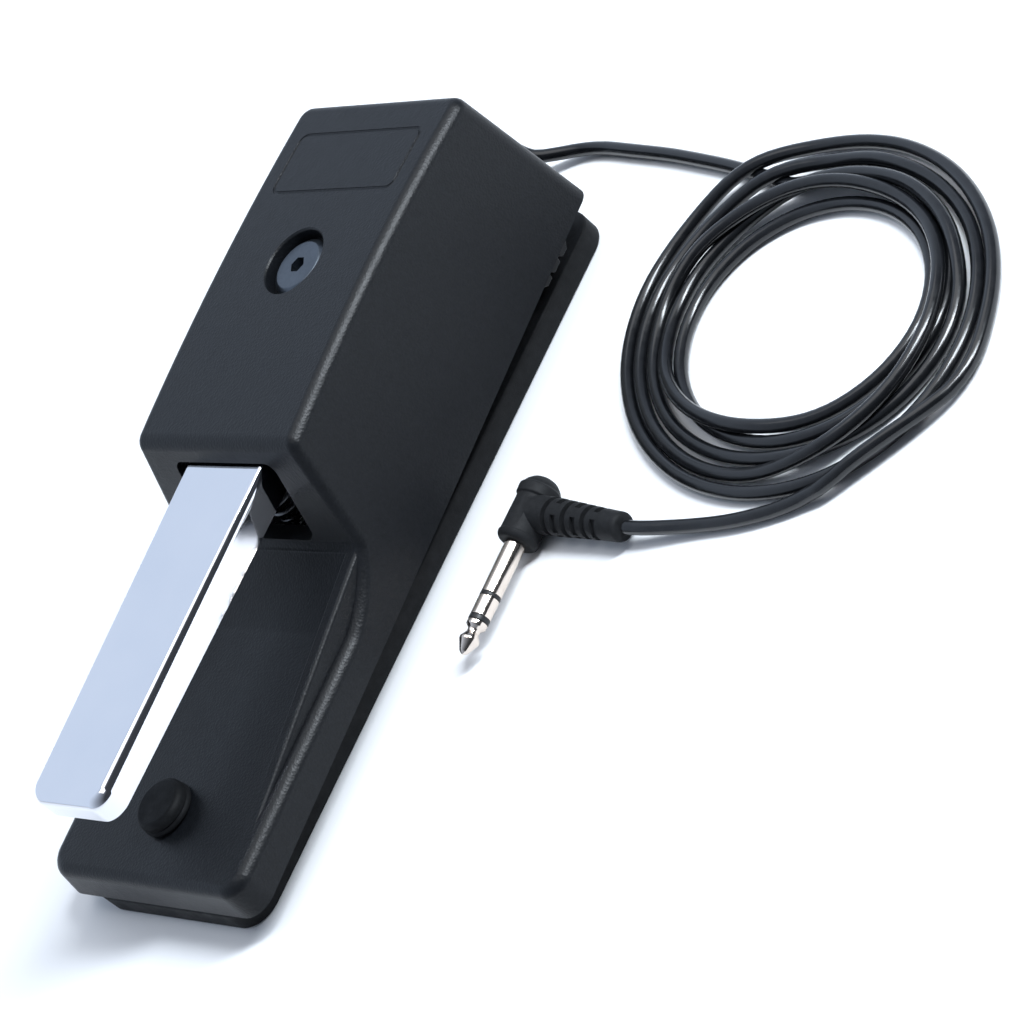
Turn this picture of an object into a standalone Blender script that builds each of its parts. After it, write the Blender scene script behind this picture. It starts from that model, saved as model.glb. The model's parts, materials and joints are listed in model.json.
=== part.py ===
"""Sustain pedal: a plastic housing with a sprung chrome lever, a fold-out rubber flap, a mode
switch, and a cable that ends in a right-angle 6.35 mm plug.

All sizes are in millimetres. X runs across the pedal and +X is the player's right. Lengths along
the pedal are distances from its front edge, called d, and Z is the height above the floor.
Meshes are made in millimetres and written in metres, with the origin at the bottom centre.
"""

import math

import bmesh
import bpy
from mathutils import Matrix, Vector

MM = 0.001
GAP = 0.3                       # clearance between neighbouring pieces

# ---------------------------------------------------------------- driving sizes
LENGTH = 245.0                  # outline of the housing and of the flap
FRONT_D = 0.4
REAR_D = 244.6

CREST_Z = 70.2                  # highest line of the crowned top
CREST_D = 195.3                 # its distance from the front
CROWN_RADIUS = 828.0            # radius of the crown, seen from the side
HALF_WIDTH = 38.0               # half width of the block where its top meets the rear wall
HALF_WIDTH_Z = 68.8
SIDE_DRAFT = 0.167              # the side walls spread this much for each mm down
WALL = 3.0

SKIRT_FRONT_Z = 9.0             # the housing's lower edge rises towards the rear
SKIRT_SLOPE = 0.0381

DECK_Z = 20.8                   # low front deck
DECK_SLOPE = 0.0214
DECK_FRONT_D = 1.8
DECK_END_D = 85.0
MOUTH_FOOT = (110.3, 33.8)      # (d, z) where the deck's sweep meets the front of the block
MOUTH_LEAN = 0.376              # the front of the block leans back this much for each mm up

MOUTH_HALF = 24.0
MOUTH_BOTTOM_Z = 34.1
MOUTH_TOP_Z = 60.3
MOUTH_CORNER = 4.0

FLAP_HALF = 39.0
FLAP_THICK = 7.74
FLAP_CORNER = 10.0
FLAP_HINGE = (0.2, 8.35)        # (d, z) of the flap's hinge axis

LEVER_HALF = 18.25
LEVER_FRONT_D = 8.0
LEVER_REAR_D = 168.0
LEVER_BOTTOM_Z = 47.5
LEVER_TOP_Z = 56.3              # at the front edge of the pedal's outline
LEVER_SLOPE = 0.0247
LEVER_SHEET = 2.5
PIVOT = (150.0, 44.0)           # (d, z) of the lever's hinge axis
PIVOT_RADIUS = 4.0
HUB_RADIUS = 6.0

BUMPER_D = 25.0
BUMPER_RADIUS = 9.1
BUMPER_TOP_Z = 27.2

SCREW_D = 184.9
WELL_RADIUS = 11.4
SCREW_HEAD_RADIUS = 10.0
SCREW_SHANK_RADIUS = 4.0

CHEEK_X = (26.0, 28.0)
SENSOR = (176.0, 33.6)          # (d, z) of the position sensor's shaft
SECTOR_PITCH = 22.0
PINION_PITCH = 6.0
GEAR_X = (21.6, 24.6)
GEAR_MODULE = 1.0

SPRING_D = 126.0
SPRING_RADIUS = 7.2
SPRING_WIRE = 1.8
SPRING_TURNS = 7

BOARD_Z = 25.0
SWITCH_D = (207.0, 230.0)
KNOB_D = (210.0, 227.0)

CABLE = 4.3                     # cable diameter
EXIT = (-20.0, 23.0)            # (x, z) where the cable leaves the rear wall
EXIT_D = 258.0                  # end of the strain relief
COIL_CENTRE = (146.0, 206.5)    # (x, d) of the oval coil
COIL_SEMI = (76.5, 61.0)
COIL_OPENING = 0.6              # inner outline as a share of the outer one
COIL_ANGLE = -24.0
COIL_HEIGHT = 15.0

PLUG_X = 75.4
PLUG_Z = 6.7
PLUG_COLLAR_D = 127.6
PLUG_TIP_D = 90.6
PLUG_RADIUS = 3.175
PLUG_TOP_D = 149.5
BOOT_START = (PLUG_X, 138.2, PLUG_Z)
BOOT_END = (116.2, 135.2, 5.5)

LEAD_ROUTE = (
    (-20.0, 259.0, 22.9),
    (-19.8, 262.2, 22.4),
    (-18.8, 265.5, 20.4),
    (-16.4, 267.5, 17.2),
    (-12.6, 267.6, 13.6),
    (-7.5, 266.6, 10.2),
    (-2.0, 266.0, 7.6),
    (4.0, 268.0, 5.4),
    (10.0, 270.2, 3.7),
    (16.0, 271.4, 2.8),
    (24.0, 271.5, 2.4),
    (37.0, 269.9, 2.4),
    (55.0, 267.5, 2.4),
    (71.0, 264.6, 2.4),
    (82.0, 262.4, 2.4),
    (87.5, 261.1, 2.4),
)
TAIL_ROUTE = (
    (117.2, 135.2, 5.5),
    (123.0, 135.5, 5.0),
    (130.0, 136.5, 4.0),
    (137.0, 137.6, 3.1),
    (144.0, 138.7, 2.5),
    (148.0, 139.2, 2.4),
)

# ---------------------------------------------------------------- scene and materials
for old in list(bpy.data.objects):
    bpy.data.objects.remove(old)


def new_collection(name):
    collection = bpy.data.collections.new(name)
    bpy.context.scene.collection.children.link(collection)
    return collection


PARTS = new_collection("sustain_pedal")
CUTTERS = new_collection("cutters")


def material(name, colour, roughness, metallic=0.0):
    made = bpy.data.materials.new(name)
    made.use_nodes = True
    shader = made.node_tree.nodes["Principled BSDF"]
    shader.inputs["Base Color"].default_value = (*colour, 1.0)
    shader.inputs["Roughness"].default_value = roughness
    shader.inputs["Metallic"].default_value = metallic
    return made


BLACK_PLASTIC = material("black_plastic", (0.018, 0.019, 0.021), 0.5)
CHROME = material("chrome", (0.78, 0.79, 0.81), 0.08, 1.0)
RUBBER = material("rubber", (0.022, 0.022, 0.024), 0.75)
STEEL = material("zinc_steel", (0.55, 0.56, 0.57), 0.35, 1.0)
SCREW_STEEL = material("screw_steel", (0.32, 0.35, 0.38), 0.35, 1.0)
WHITE_NYLON = material("white_nylon", (0.75, 0.74, 0.70), 0.5)
FELT = material("felt", (0.12, 0.13, 0.12), 0.95)
CABLE_SHEATH = material("cable_sheath", (0.014, 0.014, 0.015), 0.4)
NICKEL = material("nickel", (0.80, 0.77, 0.74), 0.15, 1.0)
BOARD_GREEN = material("board_green", (0.03, 0.16, 0.07), 0.5)


# ---------------------------------------------------------------- modelling helpers
def place(x, d, z):
    """A point of the pedal in the millimetre frame that meshes are made in."""
    return Vector((x, d - LENGTH / 2, z))


def finish_mesh(bm, name, look, cutter=False):
    """Turns a bmesh in millimetres into an object in metres."""
    bmesh.ops.recalc_face_normals(bm, faces=bm.faces)
    bmesh.ops.scale(bm, vec=(MM, MM, MM), verts=bm.verts)
    mesh = bpy.data.meshes.new(name)
    bm.to_mesh(mesh)
    bm.free()
    made = bpy.data.objects.new(name, mesh)
    (CUTTERS if cutter else PARTS).objects.link(made)
    if cutter:
        made.hide_render = True
        made.display_type = "WIRE"
    else:
        mesh.materials.append(look)
        mesh.shade_smooth()
        mesh.set_sharp_from_angle(angle=math.radians(35))
    return made


def prism_mesh(outline, low, high, normal):
    """An outline of (a, b) points, extruded along X (points are d, z) or along Z (points are x, d)."""
    bm = bmesh.new()
    if normal == "X":
        corners = [bm.verts.new(place(low, a, b)) for a, b in outline]
        step = Vector((high - low, 0, 0))
    else:
        corners = [bm.verts.new(place(a, b, low)) for a, b in outline]
        step = Vector((0, 0, high - low))
    base = bm.faces.new(corners)
    grown = bmesh.ops.extrude_face_region(bm, geom=[base])["geom"]
    moved = [item for item in grown if isinstance(item, bmesh.types.BMVert)]
    bmesh.ops.translate(bm, vec=step, verts=moved)
    bmesh.ops.recalc_face_normals(bm, faces=bm.faces)
    return bm


def box_mesh(x, d, z):
    """A box between the pairs x, d and z."""
    bm = bmesh.new()
    bmesh.ops.create_cube(bm, size=1.0)
    centre = place(sum(x) / 2, sum(d) / 2, sum(z) / 2)
    size = (x[1] - x[0], d[1] - d[0], z[1] - z[0])
    bmesh.ops.transform(bm, matrix=Matrix.Translation(centre) @ Matrix.Diagonal((*size, 1)), verts=bm.verts)
    return bm


def cylinder_mesh(start, end, radius, end_radius=None, sides=24):
    """A cylinder or cone between two points given as (x, d, z)."""
    a, b = place(*start), place(*end)
    bm = bmesh.new()
    bmesh.ops.create_cone(
        bm, cap_ends=True, segments=sides, radius1=radius,
        radius2=radius if end_radius is None else end_radius, depth=(b - a).length,
    )
    turn = (b - a).to_track_quat("Z", "Y").to_matrix().to_4x4()
    bmesh.ops.transform(bm, matrix=Matrix.Translation((a + b) / 2) @ turn, verts=bm.verts)
    return bm


def turned(name, look, profile, start, direction, sides=24, cutter=False):
    """A solid of revolution: profile is (distance along the axis, radius) from one end to the other."""
    axis = Vector(direction).normalized()
    turn = axis.to_track_quat("Z", "Y").to_matrix().to_4x4()
    bm = bmesh.new()
    rings = []
    for along, radius in profile:
        if radius == 0:
            rings.append([bm.verts.new((0, 0, along))])
            continue
        angles = [2 * math.pi * i / sides for i in range(sides)]
        rings.append([bm.verts.new((radius * math.cos(a), radius * math.sin(a), along)) for a in angles])
    for lower, upper in zip(rings, rings[1:]):
        for i in range(sides):
            j = (i + 1) % sides
            corners = [lower[i % len(lower)], lower[j % len(lower)], upper[j % len(upper)], upper[i % len(upper)]]
            bm.faces.new(dict.fromkeys(corners))
    for ring in (rings[0], rings[-1]):
        if len(ring) > 1:
            bm.faces.new(ring)
    bmesh.ops.transform(bm, matrix=Matrix.Translation(place(*start)) @ turn, verts=bm.verts)
    return finish_mesh(bm, name, look, cutter)


def boolean(target, other, operation):
    modifier = target.modifiers.new(f"{operation.lower()}_{other.name}", "BOOLEAN")
    modifier.operation = operation
    modifier.object = other


def cut(target, bm, name):
    boolean(target, finish_mesh(bm, name, None, cutter=True), "DIFFERENCE")


def join(target, bm, name):
    boolean(target, finish_mesh(bm, name, None, cutter=True), "UNION")


def solid(name, look, bm):
    return finish_mesh(bm, name, look)


def bored_tube(name, look, start, end, radius, bore, sides=24):
    """A tube: a cylinder with a bore along its whole length."""
    made = solid(name, look, cylinder_mesh(start, end, radius, sides=sides))
    a, b = Vector(start), Vector(end)
    reach = (b - a).normalized()
    cut(made, cylinder_mesh(a - reach, b + reach, bore, sides=sides), f"{name}_bore")
    return made


def smooth_points(route, step):
    """Points about a step apart on a Catmull-Rom curve through the route's points."""
    knots = [Vector(point) for point in route]
    knots = [2 * knots[0] - knots[1], *knots, 2 * knots[-1] - knots[-2]]
    points = []
    for p0, p1, p2, p3 in zip(knots, knots[1:], knots[2:], knots[3:]):
        pieces = max(1, round((p2 - p1).length / step))
        for i in range(pieces):
            t = i / pieces
            points.append(
                0.5 * (2 * p1 + (p2 - p0) * t + (2 * p0 - 5 * p1 + 4 * p2 - p3) * t**2
                       + (3 * p1 - p0 - 3 * p2 + p3) * t**3)
            )
    return [*points, knots[-2]]


def tube(name, look, points, diameter, roundness=2):
    """A round wire or cable along points given as (x, d, z)."""
    curve = bpy.data.curves.new(name, "CURVE")
    curve.dimensions = "3D"
    curve.bevel_depth = diameter / 2 * MM
    curve.bevel_resolution = roundness
    curve.use_fill_caps = True
    line = curve.splines.new("POLY")
    line.points.add(len(points) - 1)
    for knot, point in zip(line.points, points):
        knot.co = (*(place(*point) * MM), 1)
    curve.materials.append(look)
    made = bpy.data.objects.new(name, curve)
    PARTS.objects.link(made)
    return made


def rounded_rectangle(half_x, d_low, d_high, radius, steps=5):
    """A plan outline as (x, d) points, with round corners."""
    outline = []
    for x_side, d, start in ((1, d_low, -90), (1, d_high, 0), (-1, d_high, 90), (-1, d_low, 180)):
        x_mid = x_side * (half_x - radius)
        d_mid = d + radius if d == d_low else d - radius
        for i in range(steps + 1):
            angle = math.radians(start + 90 * i / steps)
            outline.append((x_mid + radius * math.cos(angle), d_mid + radius * math.sin(angle)))
    return outline


def arc_between(start, end, bulge, steps):
    """Points from start to end on a parabola whose middle lies off the chord by bulge."""
    chord = Vector((end[0] - start[0], end[1] - start[1]))
    side = Vector((-chord.y, chord.x)).normalized()
    points = []
    for i in range(1, steps):
        t = i / steps
        point = Vector(start) + chord * t + side * bulge * 4 * t * (1 - t)
        points.append((point.x, point.y))
    return points


# ---------------------------------------------------------------- rules of the housing's shape
def half_width(z):
    return HALF_WIDTH + SIDE_DRAFT * (HALF_WIDTH_Z - z)


def crown_z(d):
    return CREST_Z - (d - CREST_D) ** 2 / (2 * CROWN_RADIUS)


def skirt_z(d):
    return SKIRT_FRONT_Z + SKIRT_SLOPE * d


def mouth_plane_d(z):
    return MOUTH_FOOT[0] + MOUTH_LEAN * (z - MOUTH_FOOT[1])


def lever_top_z(d):
    return LEVER_TOP_Z + LEVER_SLOPE * d


def chassis_z(d):
    """Underside of the chassis plate, which lies along the housing's lower edge."""
    return skirt_z(d) + 1.6


CHASSIS_THICK = 2.0


def housing_profile(inset, steps):
    """The housing's side outline as (d, z) points, moved inwards by inset and open below."""
    front_d = FRONT_D + inset
    rear_d = REAR_D - inset
    deck_end = (DECK_END_D, DECK_Z + DECK_SLOPE * DECK_END_D - inset)
    foot = (MOUTH_FOOT[0] + inset * 1.3, MOUTH_FOOT[1] - inset)
    top_front_d = mouth_plane_d(crown_z(mouth_plane_d(67.0))) + inset
    bottom = (lambda d: skirt_z(d)) if inset == 0 else (lambda d: 0.0)
    outline = [(front_d, bottom(front_d)), (DECK_FRONT_D + inset, DECK_Z - inset), deck_end]
    outline += arc_between(deck_end, foot, -1.7, steps)
    outline.append(foot)
    for i in range(steps * 2 + 1):
        d = top_front_d + (rear_d - top_front_d) * i / (steps * 2)
        outline.append((d, crown_z(d) - inset))
    outline.append((rear_d, bottom(rear_d)))
    return outline


def housing_block(inset, steps):
    """The housing's body between its drafted side walls."""
    bm = prism_mesh(housing_profile(inset, steps), -1.0, 1.0, "X")
    for vertex in bm.verts:
        vertex.co.x *= half_width(vertex.co.z) - inset
    return bm


def is_wall(face):
    return -0.05 < face.normal.z < 0.25


def bevel_edges(bm, chosen, width, segments):
    edges = [edge for edge in bm.edges if len(edge.link_faces) == 2 and chosen(edge)]
    bmesh.ops.bevel(
        bm, geom=edges, offset=width, segments=segments, profile=0.5, affect="EDGES", offset_type="OFFSET",
    )
    bm.normal_update()


def upright_at(edge, low_d, high_d):
    """True for an edge between two walls whose ends both lie between two distances."""
    ends = [vertex.co.y + LENGTH / 2 for vertex in edge.verts]
    first, second = edge.link_faces
    steep = abs(edge.verts[0].co.z - edge.verts[1].co.z) > 6
    return steep and is_wall(first) and is_wall(second) and min(ends) > low_d and max(ends) < high_d


def is_rim(edge):
    """True where a wall meets the top, the deck, the sweep between them or the mouth's face."""
    first, second = edge.link_faces
    return (is_wall(first) and second.normal.z > 0.3) or (is_wall(second) and first.normal.z > 0.3)


def is_brow(edge):
    """True on the edge between the crowned top and the mouth's face."""
    normals = sorted(face.normal.z for face in edge.link_faces)
    return 0.3 < normals[0] < 0.45 and normals[1] > 0.95 and all(v.co.z > 60 for v in edge.verts)


def gusset_mesh(side):
    """Rib from the mouth's lower corner down to the deck, where it dies out near the front."""
    rear_d = 112.0
    front_d = 20.0
    points = [
        (36.5, rear_d, 32.6), (42.0, rear_d, 32.6), (33.8, rear_d, 21.0), (43.0, rear_d, 21.0),
        (37.6, front_d, 20.9), (41.6, front_d, 20.9), (37.0, front_d, 18.6), (42.0, front_d, 18.6),
        (42.4, 85.0, 22.2), (42.0, 45.0, 21.2),
    ]
    bm = bmesh.new()
    for x, d, z in points:
        bm.verts.new(place(side * x, d, z))
    hull = bmesh.ops.convex_hull(bm, input=bm.verts)
    loose = {item for item in hull["geom_interior"] + hull["geom_unused"] if isinstance(item, bmesh.types.BMVert)}
    bmesh.ops.delete(bm, geom=list(loose), context="VERTS")
    return bm


def badge_mesh():
    """Cutter for the blank sunken panel on the top."""
    low, high = 210.4, 232.2
    outline = rounded_rectangle(28.7, low, high, 3.0, 4)
    bm = prism_mesh(outline, -0.5, 6.0, "Z")
    middle = (low + high) / 2
    tilt = math.atan((crown_z(high) - crown_z(low)) / (high - low))
    pivot = place(0, middle, 0)
    turn = Matrix.Translation(pivot) @ Matrix.Rotation(tilt, 4, "X") @ Matrix.Translation(-pivot)
    bmesh.ops.transform(bm, matrix=Matrix.Translation((0, 0, crown_z(middle))) @ turn, verts=bm.verts)
    return bm


def build_housing():
    bm = housing_block(0.0, 4)
    bm.normal_update()
    bevel_edges(bm, lambda edge: upright_at(edge, -5, 20), 8.0, 4)
    bevel_edges(bm, lambda edge: upright_at(edge, 225, 250), 5.0, 3)
    bevel_edges(bm, lambda edge: is_rim(edge) or is_brow(edge), 3.4, 3)
    housing = solid("housing", BLACK_PLASTIC, bm)
    for side, name in ((1, "right"), (-1, "left")):
        join(housing, gusset_mesh(side), f"gusset_{name}")
    cut(housing, housing_block(WALL, 4), "housing_cavity")
    opening = [
        (x, z) for x, z in rounded_rectangle(MOUTH_HALF, MOUTH_BOTTOM_Z, MOUTH_TOP_Z, MOUTH_CORNER, 3)
    ]
    bm = prism_mesh(opening, 0.0, 30.0, "Z")
    stand = Matrix.Translation(place(0, 134.0, 0)) @ Matrix.Rotation(math.radians(90), 4, "X")
    bmesh.ops.transform(bm, matrix=stand @ Matrix.Translation((0, LENGTH / 2, 0)), verts=bm.verts)
    cut(housing, bm, "mouth")
    join(housing, cylinder_mesh((0, SCREW_D, 60.0), (0, SCREW_D, 68.0), 14.0), "screw_boss")
    for x, d, top in BASE_SCREWS.values():
        join(housing, cylinder_mesh((x, d, chassis_z(d) + CHASSIS_THICK + GAP), (x, d, top), 4.6, sides=16), f"boss_{x}_{d}")
        cut(housing, cylinder_mesh((x, d, 5), (x, d, chassis_z(d) + 7), 1.8, sides=12), f"boss_hole_{x}_{d}")
    cut(housing, badge_mesh(), "badge_panel")
    cut(housing, cylinder_mesh((0, SCREW_D, 65.5), (0, SCREW_D, 75.0), WELL_RADIUS, sides=40), "screw_well")
    cut(housing, cylinder_mesh((0, SCREW_D, 55.0), (0, SCREW_D, 70.0), SCREW_SHANK_RADIUS + 0.6), "screw_hole")
    cut(housing, cylinder_mesh((EXIT[0], 235, EXIT[1]), (EXIT[0], 250, EXIT[1]), 4.6), "cable_hole")
    pocket = box_mesh((30, 60), (SWITCH_D[0] - 1, SWITCH_D[1] + 1), (5, 24.5))
    for vertex in pocket.verts:
        if vertex.co.x > 50:
            vertex.co.x = half_width(vertex.co.z) - 1.1
    cut(housing, pocket, "switch_pocket")


BASE_SCREWS = {
    "front_right": (30.0, 22.0, 19.0),
    "front_left": (-30.0, 22.0, 19.0),
    "rear_right": (36.6, 237.0, 44.0),
    "rear_left": (-36.6, 237.0, 44.0),
}


# ---------------------------------------------------------------- chassis, feet and screws
def build_chassis():
    plate = prism_mesh(
        [(6, chassis_z(6)), (239, chassis_z(239)), (239, chassis_z(239) + CHASSIS_THICK),
         (6, chassis_z(6) + CHASSIS_THICK)], -40.5, 40.5, "X",
    )
    chassis = solid("chassis", STEEL, plate)
    cheek = [(117, 14.5), (190, 18.5), (189, 38), (178, 46), (160, 53), (138, 53), (117, 30)]
    for side, name in ((1, "right"), (-1, "left")):
        low, high = sorted((side * CHEEK_X[0], side * CHEEK_X[1]))
        join(chassis, prism_mesh(cheek, low, high, "X"), f"cheek_{name}")
        cut(chassis, cylinder_mesh((side * 20, *PIVOT), (side * 32, *PIVOT), 6.8), f"bush_hole_{name}")
    cut(chassis, cylinder_mesh((20, *SENSOR), (32, *SENSOR), 4.3, sides=16), "sensor_hole")
    cut(chassis, box_mesh((EXIT[0] - 7, EXIT[0] + 7), (232.5, 245), (10, 30)), "lead_notch")
    for name, (x, d, _) in BASE_SCREWS.items():
        cut(chassis, cylinder_mesh((x, d, 5), (x, d, 30), 1.9, sides=12), f"chassis_hole_{name}")


def build_base_screws():
    for name, (x, d, _) in BASE_SCREWS.items():
        head_z = chassis_z(d) - GAP
        profile = [(0, 2.6), (0.5, 3.4), (2.0, 3.4), (2.0, 1.5), (8.3, 1.5)]
        turned(f"base_screw_{name}", STEEL, profile, (x, d, head_z - 2.0), (0, 0, 1), 12)


def build_feet():
    for side, name in ((1, "right"), (-1, "left")):
        top = chassis_z(213) - GAP
        turned(f"rear_foot_{name}", RUBBER, [(0, 6.4), (0.8, 7.2), (top - 8.04, 8.0)],
               (side * 26, 222, 8.04), (0, 0, 1), 20)
        top = chassis_z(30) - GAP - 0.35
        turned(f"front_pad_{name}", RUBBER, [(0, 6.2), (0.6, 6.8), (top - 8.04, 7.0)],
               (side * 20, 38, 8.04), (0, 0, 1), 20)


def build_top_screw():
    rim = 68.3
    profile = [(0, 3.2), (1, SCREW_SHANK_RADIUS), (rim - 2.6 - 33, SCREW_SHANK_RADIUS),
               (rim - 2.6 - 33, SCREW_HEAD_RADIUS), (rim - 1.5 - 33, SCREW_HEAD_RADIUS), (rim - 33, 8.2)]
    screw = turned("top_screw", SCREW_STEEL, profile, (0, SCREW_D, 33), (0, 0, 1), 32)
    cut(screw, cylinder_mesh((0, SCREW_D, rim - 4.5), (0, SCREW_D, rim + 2), 2.89, sides=6), "hex_socket")
    foot = chassis_z(SCREW_D + 7) + CHASSIS_THICK + GAP
    post = solid("screw_post", STEEL, cylinder_mesh((0, SCREW_D, foot), (0, SCREW_D, 59.7), 6.5))
    cut(post, cylinder_mesh((0, SCREW_D, 28), (0, SCREW_D, 65), SCREW_SHANK_RADIUS + GAP), "post_thread")


# ---------------------------------------------------------------- lever and its pivot
def build_lever():
    outline = rounded_rectangle(LEVER_HALF, LEVER_FRONT_D, LEVER_REAR_D + 12, 6.5, 4)
    outline = [(x, min(d, LEVER_REAR_D)) for x, d in outline]
    outline = list(dict.fromkeys((round(x, 6), round(d, 6)) for x, d in outline))
    bm = prism_mesh(outline, LEVER_BOTTOM_Z, LEVER_TOP_Z, "Z")
    for vertex in bm.verts:
        if vertex.co.z > LEVER_BOTTOM_Z + 1:
            vertex.co.z = lever_top_z(vertex.co.y + LENGTH / 2)
    bm.normal_update()
    bevel_edges(bm, lambda e: {f.normal.z > 0.9 for f in e.link_faces} == {True, False}
                and min(v.co.y for v in e.verts) < LEVER_REAR_D - LENGTH / 2 - 1, 2.0, 3)
    lever = solid("pedal_lever", CHROME, bm)
    ear = [(138, 50), (144, 37.2), (155.5, 37.2), (160, 46.5), (160, 50)]
    for side, name in ((1, "right"), (-1, "left")):
        low, high = sorted((side * (LEVER_HALF - LEVER_SHEET), side * LEVER_HALF))
        join(lever, prism_mesh(ear, low, high, "X"), f"lever_ear_{name}")
    hollow = rounded_rectangle(LEVER_HALF - LEVER_SHEET, LEVER_FRONT_D + LEVER_SHEET, LEVER_REAR_D + 12, 4.0, 3)
    bm = prism_mesh(hollow, 30.0, 50.0, "Z")
    for vertex in bm.verts:
        if vertex.co.z > 45:
            vertex.co.z = lever_top_z(vertex.co.y + LENGTH / 2) - LEVER_SHEET
    cut(lever, bm, "lever_hollow")
    cut(lever, cylinder_mesh((-30, *PIVOT), (30, *PIVOT), HUB_RADIUS + GAP), "lever_hub_hole")

    bored_tube("lever_hub", STEEL, (-20, *PIVOT), (25, *PIVOT), HUB_RADIUS, PIVOT_RADIUS + GAP)
    inner = LEVER_HALF - LEVER_SHEET - GAP
    front, rear = 16.0, 140.0
    core = [(front, LEVER_BOTTOM_Z + 0.4), (rear, LEVER_BOTTOM_Z + 0.4),
            (rear, lever_top_z(rear) - LEVER_SHEET - GAP), (front, lever_top_z(front) - LEVER_SHEET - GAP)]
    solid("lever_core", BLACK_PLASTIC, prism_mesh(core, -inner, inner, "X"))


def build_pivot():
    solid("pivot_shaft", STEEL, cylinder_mesh((-32, *PIVOT), (32, *PIVOT), PIVOT_RADIUS))
    for side, name in ((1, "right"), (-1, "left")):
        bush = turned(f"pivot_bush_{name}", WHITE_NYLON, [(0, 6.5), (3.0, 6.5), (3.0, 8.2), (4.0, 8.2)],
                      (side * 25.3, *PIVOT), (side, 0, 0))
        cut(bush, cylinder_mesh((side * 20, *PIVOT), (side * 35, *PIVOT), PIVOT_RADIUS + GAP), f"bush_bore_{name}")
        clip = bored_tube(f"pivot_clip_{name}", STEEL, (side * 29.7, *PIVOT), (side * 30.5, *PIVOT),
                          7.2, PIVOT_RADIUS + GAP, 20)
        low, high = sorted((side * 29, side * 31))
        cut(clip, box_mesh((low, high), (PIVOT[0] - 2.4, PIVOT[0] + 2.4), (PIVOT[1] - 10, PIVOT[1])), f"clip_mouth_{name}")


# ---------------------------------------------------------------- springs and stops
def build_spring():
    plate = chassis_z(SPRING_D) + CHASSIS_THICK
    seat_z = plate + 3.2
    turned("spring_seat_lower", WHITE_NYLON, [(0, 11.0), (seat_z - plate - 0.8, 11.0),
           (seat_z - plate - 0.8, 5.0), (seat_z - plate + 4, 4.2)], (0, SPRING_D, plate + 0.8), (0, 0, 1), 20)
    core_z = LEVER_BOTTOM_Z + 0.4 - GAP
    turned("spring_seat_upper", WHITE_NYLON, [(0, 10.5), (2.2, 10.5), (2.2, 5.0), (6.5, 4.2)],
           (0, SPRING_D, core_z), (0, 0, -1), 20)
    low = seat_z + GAP + SPRING_WIRE / 2
    high = core_z - 2.2 - GAP - SPRING_WIRE / 2
    steps = 10 * SPRING_TURNS
    points = []
    for i in range(steps + 1):
        turn = i / 10
        rise = min(1.0, max(0.0, (turn - 0.75) / (SPRING_TURNS - 1.5)))
        angle = 2 * math.pi * turn
        lift = low + SPRING_WIRE * 0.5 * min(turn, 0.75) + (high - low - SPRING_WIRE * 0.75) * rise
        lift += SPRING_WIRE * 0.5 * max(0.0, turn - SPRING_TURNS + 0.75)
        points.append((SPRING_RADIUS * math.cos(angle), SPRING_D + SPRING_RADIUS * math.sin(angle), lift))
    tube("return_spring", STEEL, points, SPRING_WIRE, 1)


def build_stops():
    block_d = (160.6, 167.6)
    foot = chassis_z(block_d[1]) + CHASSIS_THICK + GAP
    solid("rest_stop_block", BLACK_PLASTIC, box_mesh((-19.4, 19.4), block_d, (foot, 44.3)))
    solid("rest_stop_felt", FELT, box_mesh((-19.4, 19.4), block_d, (44.6, LEVER_BOTTOM_Z - GAP)))
    base = DECK_Z + DECK_SLOPE * (BUMPER_D + BUMPER_RADIUS) + GAP
    profile = [(0, BUMPER_RADIUS - 0.5), (0.8, BUMPER_RADIUS - 0.1), (BUMPER_TOP_Z - base - 1.2, BUMPER_RADIUS - 0.5),
               (BUMPER_TOP_Z - base - 0.4, 7.7), (BUMPER_TOP_Z - base, 6.4)]
    turned("rubber_bumper", RUBBER, profile, (0, BUMPER_D, base), (0, 0, 1), 32)


# ---------------------------------------------------------------- sensor gears, board and switch
def gear_outline(centre, pitch_radius, teeth, first, last, phase, rim):
    """Outline (d, z) of a gear, or of a sector of it, with straight-sided teeth."""
    step = 360.0 / teeth
    shape = ((-0.31, -1.15), (-0.14, 0.85), (0.14, 0.85), (0.31, -1.15))
    outline = []
    for tooth in range(first, last + 1):
        for across, height in shape:
            angle = math.radians(phase + (tooth + across) * step)
            radius = pitch_radius + height * GEAR_MODULE
            outline.append((centre[0] + radius * math.cos(angle), centre[1] + radius * math.sin(angle)))
    if rim:
        start, stop = math.radians(phase + (last + 0.5) * step), math.radians(phase + (first - 0.5) * step)
        for angle in (start, stop):
            for radius in ((pitch_radius - 1.2, rim) if angle == start else (rim, pitch_radius - 1.2)):
                outline.append((centre[0] + radius * math.cos(angle), centre[1] + radius * math.sin(angle)))
    return outline


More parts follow.
